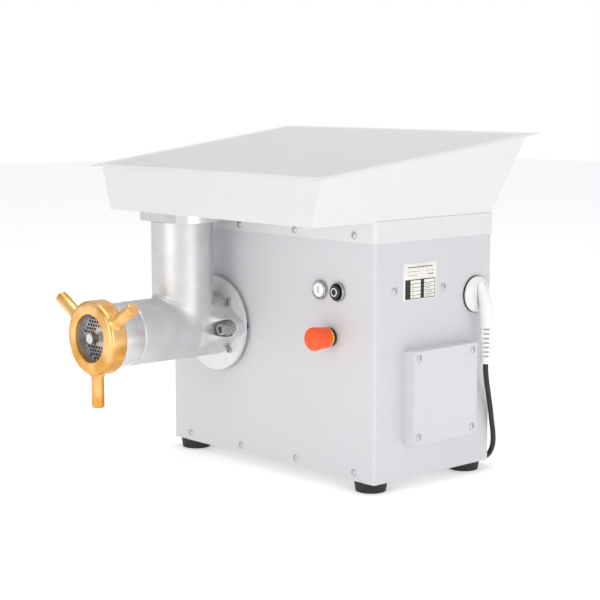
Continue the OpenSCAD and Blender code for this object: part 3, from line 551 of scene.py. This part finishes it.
def make_relief():
    """A tapered sleeve with seven rings of four slots over a darker grey core, which is painted shade seen
    through the slots.
    """
    height = RELIEF_TOP - RELIEF_LOW
    slots, pitch, first, slot_depth = 7, 6.7, 10.5, 2.4
    profile = rounded([
        (4.1, 0.0), (7.6, 0.0, 0.8), (8.7, height + 1.0), (8.4, height + 2.0), (0, height + 2.0),
    ])
    edges = [(first + pitch * i, first + pitch * i + 2.0) for i in range(slots)]
    dense = [profile[0]]
    for a, b in zip(profile, profile[1:]):
        n = max(1, int(abs(b[1] - a[1]) / 0.5))
        dense += [(a[0] + (b[0] - a[0]) * k / n, a[1] + (b[1] - a[1]) * k / n) for k in range(1, n + 1)]

    def groove(a, radius, along):
        if radius < 6.5:
            return 0.0
        facing = abs(math.cos(2 * (a + math.pi / 4)))
        inside = any(low < along < high for low, high in edges)
        return -slot_depth if inside and facing > 0.35 else 0.0

    place = (RELIEF_X * MM, PLUG_Y * MM, RELIEF_LOW * MM)
    sleeve = piece("relief_sleeve", [lathe(dense, place, (0, 0, 1), 120, groove)],
                   "white_plastic", "cabinet", ["strain_relief"], 40)
    # the core rings are painted shade: grey bands that darken the slots, where shade falls inside the sleeve
    rings = []
    for low, high in edges:
        r, start, end = 6.3 + 0.018 * low, low - 0.2, high + 0.2
        rings.append(lathe([(0, start), (r, start), (r, end), (0, end)], place, (0, 0, 1), 60))
    core = piece("relief_slot_shade", rings, "relief_shade", "cabinet")
    return sleeve, core


cord = make_cord()
tie = make_tie()
plug = make_plug()
relief, relief_slot_shade = make_relief()

# ---------- sheet metal: CAD nodes with softened edges ----------


def dress(node, material, width=0.0, angle=40):
    obj = nodes[node]
    obj.data.materials.clear()
    obj.data.materials.append(M[material])
    for p in obj.data.polygons:
        p.material_index = 0
    if width:
        bevel(obj, width, angle)
    return obj


for node, material, width in (
    ("cabinet_shell", "sheet", 0.5), ("rear_panel", "sheet", 0.4), ("meat_tray", "tray", 0.5),
    ("base_plate", "base", 0.3), ("terminal_cover", "cover", 0.9), ("foot_bolts", "zinc", 0.4),
    ("mounting_flange", "flange", 0.9), ("rear_bush", "bronze", 0.4), ("plate_pin", "stud_steel", 0.4),
    ("grinding_plate", "plate_steel", 0.0), ("thrust_ring", "plate_steel", 0.4), ("auger", "auger_iron", 0.0),
    ("knife", "plate_steel", 0.4), ("output_shaft", "shaft_steel", 0.5), ("worm_wheel", "wheel_bronze", 0.0),
    ("shaft_key", "shaft_steel", 0.3), ("gearbox_adapter", "housing_iron", 1.0),
    ("gearbox_housing", "housing_iron", 1.5), ("gearbox_cover", "housing_iron", 1.0),
    ("output_bearings", "shaft_steel", 0.4), ("shaft_seal", "nylon", 0.4), ("worm", "shaft_steel", 0.0),
    ("motor_shaft", "shaft_steel", 0.5), ("rotor_core", "core_steel", 0.5), ("cooling_fan", "nylon", 0.3),
    ("worm_bearings", "shaft_steel", 0.4), ("motor_bearings", "shaft_steel", 0.4),
    ("motor_frame", "housing_iron", 0.5), ("stator_core", "copper", 0.5), ("fan_cowl", "nylon", 0.3),
    ("drive_stand", "base", 0.4), ("run_capacitor", "white_plastic", 0.6), ("contactor", "nylon", 0.6),
    ("contact_blocks", "block", 0.6), ("estop_base", "black_plastic", 0.5), ("estop_ring", "yellow", 0.3),
    ("estop_stem", "black_plastic", 0.3), ("parking_socket", "black_plastic", 0.6),
    ("cord_gland", "black_plastic", 0.4),
):
    dress(node, material, width)


def dress_flanges():
    """A bright rim on the round mounting flange, and a raw front edge on the throat flange."""
    rim_from = 0.070
    mount = nodes["mounting_flange"]
    mount.data.materials.append(M["rim"])
    for p in mount.data.polygons:
        radius = math.hypot(p.center.x - HEAD_X, p.center.z - HEAD_Z)
        if abs(p.normal.y) < 0.3 and radius > rim_from:
            p.material_index = 1
    flange = dress("throat_flange", "polished", 0.5)
    flange.data.materials.append(M["rough_cast"])
    for p in flange.data.polygons:
        p.material_index = 1 if p.normal.y < -0.98 else 0


dress_flanges()

# ---------- grinding head ----------

# radii, and places along the head's axis ahead of or behind the origin, in millimetres
BARREL_R, BARREL_FRONT = 47.8, -202
THREAD_R, THREAD_FRONT, THREAD_BACK = 46.5, -254, -195
BORE_R, PLATE_SEAT_R, PLATE_SEAT_Y = 38.0, 41.1, -240
JOURNAL_R = 24.0
NECK_R, NECK_BORE_R = 46.3, 37.0
EAR_X, EAR_R, EAR_CORE, EAR_T = 61.5, 11.0, 42.0, 15.0
WEB_LENGTH = 55


def smooth_min(a, b, k):
    h = np.clip(0.5 + 0.5 * (b - a) / k, 0, 1)
    return b * (1 - h) + a * h - k * h * (1 - h)


def smooth_max(a, b, k):
    return -smooth_min(-a, -b, k)


def casting_distance(p):
    """Signed distance to the head's casting, in millimetres about the head's axis."""
    x, y, z = p[:, 0], p[:, 1], p[:, 2]
    mount = MOUNT_Y / MM
    neck_y = NECK_Y / MM
    top = (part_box("throat_flange")[0].z - HEAD_Z) / MM
    radial = np.hypot(x, z)
    # ear outline: tangent lines from the core circle to the tip circles
    b = (EAR_CORE - EAR_R) / EAR_X
    a = math.sqrt(1 - b * b)
    px, py = np.abs(z), np.abs(x)
    k = -b * px + a * py
    outline = np.where(
        k < 0, radial - EAR_CORE,
        np.where(k > a * EAR_X, np.hypot(px, py - EAR_X) - EAR_R, a * px + b * py - EAR_CORE),
    )
    barrel = smooth_max(radial - BARREL_R, np.maximum(BARREL_FRONT - y, y - mount), 1.0)
    neck = smooth_max(np.hypot(x, y - neck_y) - NECK_R, np.maximum(-z, z - top), 1.0)
    ear = smooth_max(outline, np.maximum(mount - EAR_T - y, y - mount), 1.6)
    # the web widens from the barrel to the ears; 0.9 turns its slant into a distance
    cone = (radial - (BARREL_R - 1 + (y - mount + WEB_LENGTH) * 0.485)) * 0.9
    web = smooth_max(smooth_max(cone, outline, 4.0), np.maximum(mount - WEB_LENGTH - y, y - mount), 1.5)
    body = smooth_min(barrel, neck, 7.0)
    body = smooth_min(body, smooth_min(web, ear, 3.0), 9.0)
    thread = smooth_max(radial - THREAD_R, np.maximum(THREAD_FRONT - y, y - THREAD_BACK), 0.8)
    body = smooth_min(body, thread, 0.4)
    ear_hole = np.hypot(np.abs(x) - EAR_X, z)
    pocket = smooth_max(ear_hole - 13.0, y - (mount - EAR_T), 1.2)
    body = smooth_max(body, -pocket, 1.4)
    body = smooth_max(body, 6.3 - ear_hole, 0.6)
    body = smooth_max(body, -np.maximum(radial - BORE_R, y - (mount - 22)), 0.8)
    body = smooth_max(body, -np.maximum(radial - PLATE_SEAT_R, y - PLATE_SEAT_Y), 0.6)
    body = smooth_max(body, -np.maximum(np.hypot(x, y - neck_y) - NECK_BORE_R, -z), 0.8)
    return smooth_max(body, JOURNAL_R - radial, 0.8)


def make_casting():
    """The casting with its fillets: a fine mesh of the CAD node, pulled onto the blended surface."""
    source = nodes["grinder_barrel"]
    rough = bpy.data.objects.new("casting_source", source.data.copy())
    bpy.context.scene.collection.objects.link(rough)
    remesh = rough.modifiers.new("remesh", "REMESH")
    remesh.mode, remesh.voxel_size = "VOXEL", 1.5 * MM
    depsgraph = bpy.context.evaluated_depsgraph_get()
    mesh = bpy.data.meshes.new_from_object(rough.evaluated_get(depsgraph))
    bpy.data.objects.remove(rough)
    n = len(mesh.vertices)
    flat = np.zeros(n * 3, np.float32)
    mesh.vertices.foreach_get("co", flat)
    centre = np.array([HEAD_X, 0, HEAD_Z]) / MM
    p = flat.reshape(-1, 3).astype(float) / MM - centre
    step = 0.02
    for _ in range(6):
        d = casting_distance(p)
        slope = np.stack(
            [casting_distance(p + step * e) - casting_distance(p - step * e) for e in np.eye(3)], 1
        ) / (2 * step)
        size = np.maximum(0.25, (slope ** 2).sum(1))
        move = -(d / size)[:, None] * slope
        reach = np.linalg.norm(move, axis=1, keepdims=True)
        p += move * np.minimum(1.0, 2.0 / np.maximum(reach, 1e-9))
    mesh.vertices.foreach_set("co", ((p + centre) * MM).astype(np.float32).ravel())
    mesh.materials.clear()
    mesh.update()
    obj = add_object("head_casting", mesh, "cast", "cabinet", 50)
    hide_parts("grinder_barrel")
    return obj


def make_collar():
    y = -241.0
    sleeve = rounded([(46.0, 0.0), (46.9, 0.0, 0.4), (46.9, 38.4, 0.5), (46.2, 38.9)], 3)
    return piece("turned_collar", [lathe(sleeve, (HEAD_X, y * MM, HEAD_Z), (0, 1, 0), 128)],
                 "collar", "cabinet")


def make_ring():
    r, lip, length, wall = 54.6, 35.0, 29.0, 47.4
    section = rounded([
        (wall, length), (wall, 8.0, 0.6), (lip, 8.0, 0.8), (lip, 0.0, 1.6), (r, 0.0, 6.5),
        (r, length, 1.6), (wall, length, 0.8), (wall, length - 0.3),
    ], 8)
    return piece("ring_nut_body", [lathe(section, (HEAD_X, RING_FRONT, HEAD_Z), (0, 1, 0), 144)],
                 "brass", "ring", ["ring_nut"])


def make_bars():
    parts = []
    reach, r, root, middle_y = 103.0, 9.4, 51.0, RING_FRONT + 0.0145
    profile = rounded([
        (0, root), (12.6, root), (12.0, 54.0, 1.0), (r, 57.6, 5.0),
        (r, reach - 1.6, 0.5), (r - 1.6, reach, 0.5), (0, reach),
    ], 6)
    for angle in (90, 210, 330):
        a = math.radians(angle)
        direction = Vector((math.cos(a), 0, -math.sin(a)))
        parts.append(lathe(profile, (HEAD_X, middle_y, HEAD_Z), direction, 48))
    return piece("ring_bars_turned", parts, "brass", "ring", ["ring_bars"])


def make_stud():
    """Round end with a centre dimple, a hexagon waist and a square for the knife."""
    r = 7.85

    def flats(a, radius, along):
        if 2.6 < along < 14.0 and radius > 5:
            return min(0.0, 6.7 / math.cos((a % (math.pi / 3)) - math.pi / 6) - radius)
        if along > 30.6 and radius > 5:
            return min(0.0, 6.5 / math.cos((a % (math.pi / 2)) - math.pi / 4) - radius)
        return 0.0

    profile = [(0, 1.4), (1.6, 0.1), (6.9, 0.0), (r, 0.9), (r, 2.5), (r, 2.61), (r, 13.9), (r, 14.1),
               (r, 30.5), (9.1, 30.61), (9.1, 42.0), (0, 42.0)]
    return piece("stud_turned", [lathe(profile, (HEAD_X, RING_FRONT, HEAD_Z), (0, 1, 0), 96, flats)],
                 "stud_steel", "drive", ["auger_stud"], 25)


# ---------- screws ----------


def dome(place, direction, r, h):
    """Button-head screw with a hexagon socket; direction points out of the panel."""
    shell = rounded([(r, -0.2), (r, h * 0.22, 0.5), (r * 0.80, h * 0.80, r * 0.9), (r * 0.42, h, 0.4)], 6)
    inner = [(r * 0.36, h - 0.15), (r * 0.34, h * 0.45), (0, h * 0.40)]

    def hexagon(a, radius, along):
        if radius > r * 0.40:
            return 0.0
        return (math.cos(math.pi / 6) / math.cos((a % (math.pi / 3)) - math.pi / 6) - 1) * radius

    washer = rounded([(r + 0.9, 0.0), (r + 0.9, 0.35, 0.2), (r - 0.5, 0.4)], 2)
    head = lathe([*shell, *inner], place, direction, 48, hexagon)
    return joined([head, lathe(washer, place, direction, 48)])


def make_screws():
    side = (1, 0, 0)
    low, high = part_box("panel_screws")
    # the upper row sits on the tray's skirt, a sheet further out
    r, inner_x, skirt = 0.0048, 0.0615, 0.0015
    parts = []
    for x in (low.x + r, -inner_x, inner_x, high.x - r):
        for face, way in ((FRONT_Y, -1), (REAR_Y, 1)):
            for z, out in ((low.z + r, 0), (high.z - r, skirt)):
                parts.append(dome((x, face + way * out, z), (0, way, 0), 4.8, 2.6))
    piece("panel_screw_heads", parts, "screw", "cabinet", ["panel_screws"])
    low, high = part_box("cover_screws")
    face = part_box("terminal_cover")[1].x
    r = 0.005
    parts = [
        dome((face, y, z), side, 5.0, 2.8)
        for y in (low.y + r, high.y - r) for z in (low.z + r, high.z - r)
    ]
    piece("cover_screw_heads", parts, "screw", "cabinet", ["cover_screws"])
    low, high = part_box("side_screws")
    r = 0.0052
    parts = [
        dome((HALF_W, y, z), side, 5.2, 3.0)
        for y, z in ((low.y + r, high.z - r), (high.y - r, low.z + r))
    ]
    piece("side_screw_heads", parts, "screw", "cabinet", ["side_screws"])


def cap_screw(place, direction, r, h, socket):
    """Socket cap screw: a knurled head with a hexagon recess."""
    body = rounded([(r, -1.0), (r, h, 0.7), (socket + 0.6, h, 0.3)], 4)
    inner = [(socket, h - 0.5), (socket, h * 0.45), (0, h * 0.4)]

    def shape(a, radius, along):
        if radius <= socket + 0.05:
            return (math.cos(math.pi / 6) / math.cos((a % (math.pi / 3)) - math.pi / 6) - 1) * radius
        if radius > r - 0.05 and along < h - 1.2:
            return -0.18 if int(a * 36 / math.pi) % 2 else 0.0
        return 0.0

    return lathe([*body, *inner], place, direction, 144, shape)


def make_head_screws():
    head_h = 12.0
    seat_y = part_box("head_bolts")[0].y + head_h * MM
    parts = []
    for s in (-1, 1):
        place = (HEAD_X + s * EAR_X * MM, seat_y, HEAD_Z)
        parts.append(cap_screw(place, (0, -1, 0), 8.7, head_h, 5.4))
        washer = rounded([(0, 0.0), (10.5, 0.0, 0.4), (10.5, -2.4, 0.4), (8.0, -2.5)], 3)
        spacer = [
            (8.4, -2.4), (8.4, -5.2), (7.7, -5.4), (7.7, -5.9), (8.4, -6.1), (8.4, -12.2), (0, -12.2),
        ]
        parts += [lathe(washer, place, (0, -1, 0), 64), lathe(spacer, place, (0, -1, 0), 64)]
    piece("head_bolt_heads", parts, "dark_screw", "cabinet", ["head_bolts"])
    parts = []
    circle = 0.054
    for k in range(4):
        a = math.radians(45 + 90 * k)
        place = (HEAD_X + circle * math.cos(a), MOUNT_Y, HEAD_Z + circle * math.sin(a))
        parts.append(cap_screw(place, (0, -1, 0), 4.4, 4.0, 2.2))
    piece("flange_screw_heads", parts, "dark_screw", "cabinet", ["flange_screws"])


# ---------- controls ----------

START, STOP, ESTOP = middle("start_cap"), middle("stop_cap"), middle("estop_head")
BEZEL_OUT = (FRONT_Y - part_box("button_bezels")[0].y) / MM
START_OUT = (FRONT_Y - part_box("start_cap")[0].y) / MM
STOP_OUT = (FRONT_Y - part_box("stop_cap")[0].y) / MM
# the caps' lower ends above the panel, and their radii, in millimetres
CAP_LOW = 3.5
START_R, STOP_R = 10.6, 9.6


def make_bezels():
    parts, wells = [], []
    for button, bore in ((START, START_R + 0.35), (STOP, STOP_R + 1.2)):
        ring = rounded([
            (bore, 0.7), (bore, BEZEL_OUT - 1.6, 0.2), (12.3, BEZEL_OUT - 0.3, 0.4), (13.3, BEZEL_OUT, 0.5),
            (14.2, BEZEL_OUT - 1.6, 0.9), (14.2, 0.0, 0.3), (9.0, 0.0),
        ], 5)
        place = (button.x, FRONT_Y, button.z)
        parts.append(lathe(ring, place, (0, -1, 0), 96))
        well = [(bore - 0.02, BEZEL_OUT - 1.8), (bore - 0.05, 0.8), (4.6, 0.8)]
        wells.append(lathe(well, place, (0, -1, 0), 96))
    piece("button_bezel_rings", parts, "chrome", "cabinet", ["button_bezels"])
    piece("button_wells", wells, "black_plastic", "cabinet")


def make_caps():
    start = rounded([
        (4, CAP_LOW), (START_R, CAP_LOW, 0.2), (START_R, START_OUT - 0.7, 0.6), (0, START_OUT),
    ], 5)
    face_y, half, reach = FRONT_Y / MM - START_OUT, 0.8, 4.6
    start_mark = block(
        (START.x / MM - half, face_y - 0.06, START.z / MM - reach),
        (START.x / MM + half, face_y + 0.5, START.z / MM + reach), 0.15,
    )
    piece("start_cap_moulded", [lathe(start, (START.x, FRONT_Y, START.z), (0, -1, 0), 96)],
          "cap_white", "start_button", ["start_cap"])
    piece("start_mark", [start_mark], "ink_light", "start_button")
    stop = rounded([(4, CAP_LOW), (STOP_R, CAP_LOW, 0.2), (STOP_R, STOP_OUT - 0.6, 0.9), (0, STOP_OUT)], 6)
    piece("stop_cap_moulded", [lathe(stop, (STOP.x, FRONT_Y, STOP.z), (0, -1, 0), 96)],
          "cap_black", "stop_button", ["stop_cap"])
    ring = rounded([
        (6.0, STOP_OUT - 0.6), (6.0, STOP_OUT + 0.04, 0.1),
        (4.7, STOP_OUT + 0.08, 0.1), (4.7, STOP_OUT - 0.6),
    ], 2)
    piece("stop_mark", [lathe(ring, (STOP.x, FRONT_Y, STOP.z), (0, -1, 0), 64)],
          "cap_white", "stop_button")


def make_estop():
    """Mushroom head: flared rim, waisted skirt and grip flutes."""
    out = (FRONT_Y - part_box("estop_head")[0].y) / MM
    profile = rounded([
        (14.5, 9.2), (15.3, 9.2, 0.3), (15.2, 14.0), (15.3, out - 19.0, 8.0), (16.6, out - 12.0, 6.0),
        (17.1, out - 8.5, 2.0), (16.8, out - 3.5, 2.5), (14.2, out - 0.6, 2.5), (9.0, out, 8.0), (0, out),
    ], 6)

    def grip(a, radius, along):
        deep = 0.5 + 0.5 * math.cos(18 * a)
        return -0.2 * deep if out - 11.0 < along < out - 3.5 and radius > 15 else 0.0

    inner = [(14.5, 9.2), (14.4, 19.5), (5.8, 20.0)]
    place = (ESTOP.x, FRONT_Y, ESTOP.z)
    parts = [lathe(profile, place, (0, -1, 0), 144, grip), lathe(inner, place, (0, -1, 0), 96)]
    piece("estop_mushroom", parts, "red", "estop_knob", ["estop_head"], 45)


# ---------- rating plate, feet ----------


def make_plate():
    low, high = (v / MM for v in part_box("rating_plate"))
    width, height = high.y - low.y, high.z - low.z
    face = high.x
    piece("plate_card", [block(low, high, 0.15)], "label", "cabinet", ["rating_plate"])
    dark, faint = [], []

    def bar(where, y0, y1, z0, z1):
        """A printed bar; shares of the plate's width and height."""
        a = (face - 0.05, low.y + y0 * width, low.z + z0 * height)
        b = (face + 0.06, low.y + y1 * width, low.z + z1 * height)
        where.append(block(a, b, 0))

    # the table: an outline, two dark header columns, and five rows
    left, right, foot, head, line = 0.05, 0.96, 0.025, 0.545, 0.012
    for y0, y1, z0, z1 in (
        (left, right, foot, foot + 1.6 * line), (left, right, head - line, head + line),
        (right - line, right, foot, head), (left, left + 0.16, foot, head), (0.52, 0.62, foot, head),
    ):
        bar(dark, y0, y1, z0, z1)
    for k in range(1, 5):
        z = foot + (head - foot) * k / 5
        bar(dark, left, right, z - 0.5 * line, z + 0.5 * line)
        bar(faint, left + 0.2, 0.30 + 0.03 * (k % 2), z - 0.055, z - 0.04)
        bar(faint, 0.66, 0.80 + 0.04 * (k % 3), z - 0.055, z - 0.04)
    # heading and two lines, as plain dashes: where, count, start, pitch, length, z span
    for where, count, start, pitch, length, z0, z1 in (
        (dark, 9, 0.13, 0.085, 0.062, 0.875, 0.905),
        (faint, 5, 0.13, 0.07, 0.05, 0.765, 0.78), (faint, 5, 0.13, 0.06, 0.04, 0.665, 0.68),
        (faint, 3, 0.70, 0.075, 0.05, 0.765, 0.78), (dark, 3, 0.74, 0.06, 0.04, 0.66, 0.69),
    ):
        for k in range(count):
            bar(where, start + pitch * k, start + pitch * k + length, z0, z1)
    piece("plate_table", dark, "ink", "cabinet")
    piece("plate_lines", faint, "ink_light", "cabinet")


def make_feet():
    low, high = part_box("rubber_feet")
    r = 24.0
    profile = rounded([
        (8.0, 6.8), (8.0, 0.0, 0.6), (r - 2.2, 0.0, 1.4), (r - 0.4, 11.2, 1.0),
        (r, 11.8, 0.4), (r, 15.0, 0.8), (3.0, 15.0),
    ], 5)

    def ribs(a, radius, along):
        return -0.55 * max(0.0, math.cos(30 * a)) if 1.0 < along < 11.0 and radius > 20 else 0.0

    parts = [
        lathe(profile, (x, y, 0), (0, 0, 1), 180, ribs)
        for x in (low.x + r * MM, high.x - r * MM) for y in (low.y + r * MM, high.y - r * MM)
    ]
    piece("ribbed_feet", parts, "rubber", "cabinet", ["rubber_feet"], 30)


make_casting()
make_collar()
make_ring()
make_bars()
make_stud()
make_screws()
make_head_screws()
make_bezels()
make_caps()
make_estop()
make_plate()
make_feet()

# ---------- floor, light, surroundings ----------


def make_floor():
    mesh = mesh_of("floor", [(-8, -8, 0), (8, -8, 0), (8, 8, 0), (-8, 8, 0)], [(0, 1, 2, 3)])
    floor = bpy.data.objects.new("floor", mesh)
    bpy.context.scene.collection.objects.link(floor)
    s = Shader("floor_paint", (0.93, 0.93, 0.93), 0.0, 0.7)
    s.color(s.noise(3.0, 2.0), (0.925, 0.925, 0.925), (0.935, 0.935, 0.935))
    s.bsdf.inputs["Emission Color"].default_value = (1, 1, 1, 1)
    s.bsdf.inputs["Emission Strength"].default_value = 0.34
    mesh.materials.append(s.material)


# brightness round the horizon: share of a turn from -X by way of -Y, +X and +Y
WORLD_STOPS = [
    (0.0, 0.62), (0.10, 0.95), (0.20, 0.70), (0.30, 1.0), (0.42, 0.80), (0.52, 1.02),
    (0.62, 0.90), (0.74, 0.52), (0.86, 0.80), (1.0, 0.62),
]


def make_world():
    """White studio; reflections see soft grey zones between the lights."""
    world = bpy.data.worlds.new("studio")
    bpy.context.scene.world = world
    world.use_nodes = True
    tree = world.node_tree
    tree.nodes.clear()
    out = tree.nodes.new("ShaderNodeOutputWorld")
    mix = tree.nodes.new("ShaderNodeMixShader")
    path = tree.nodes.new("ShaderNodeLightPath")
    plain = tree.nodes.new("ShaderNodeBackground")
    plain.inputs["Color"].default_value = (1, 1, 1, 1)
    plain.inputs["Strength"].default_value = 1.0
    lit = tree.nodes.new("ShaderNodeBackground")
    coords = tree.nodes.new("ShaderNodeTexCoord")
    split = tree.nodes.new("ShaderNodeSeparateXYZ")
    angle = tree.nodes.new("ShaderNodeMath")
    angle.operation = "ARCTAN2"
    ramp = tree.nodes.new("ShaderNodeValToRGB")
    scale = tree.nodes.new("ShaderNodeMapRange")
    scale.inputs["From Min"].default_value, scale.inputs["From Max"].default_value = -math.pi, math.pi
    tree.links.new(coords.outputs["Generated"], split.inputs[0])
    tree.links.new(split.outputs["Y"], angle.inputs[0])
    tree.links.new(split.outputs["X"], angle.inputs[1])
    tree.links.new(angle.outputs[0], scale.inputs["Value"])
    tree.links.new(scale.outputs[0], ramp.inputs["Fac"])
    ramp.color_ramp.interpolation = "EASE"
    while len(ramp.color_ramp.elements) < len(WORLD_STOPS):
        ramp.color_ramp.elements.new(0.5)
    for element, (place, value) in zip(ramp.color_ramp.elements, WORLD_STOPS):
        element.position = place
        element.color = (value, value, value * 1.01, 1)
    tree.links.new(ramp.outputs["Color"], lit.inputs["Color"])
    lit.inputs["Strength"].default_value = 0.80
    tree.links.new(path.outputs["Is Camera Ray"], mix.inputs[0])
    tree.links.new(lit.outputs[0], mix.inputs[1])
    tree.links.new(plain.outputs[0], mix.inputs[2])
    tree.links.new(mix.outputs[0], out.inputs[0])


def area_light(name, place, aim, size, power):
    data = bpy.data.lights.new(name, "AREA")
    data.shape, data.size, data.energy = "SQUARE", size, power
    light = bpy.data.objects.new(name, data)
    light.location = place
    light.rotation_mode = "QUATERNION"
    light.rotation_quaternion = (Vector(aim) - Vector(place)).to_track_quat("-Z", "Y")
    bpy.context.scene.collection.objects.link(light)


make_floor()
make_world()
area_light("key", (0.2, -3.0, 0.8), (0, 0, 0.25), 1.6, 15)
area_light("side", (3.0, -0.4, 0.8), (0, 0, 0.25), 1.6, 12)
area_light("top", (0, 0, 3.0), (0, 0, 0.3), 2.0, 32)
bpy.context.scene.view_settings.view_transform = "Standard"
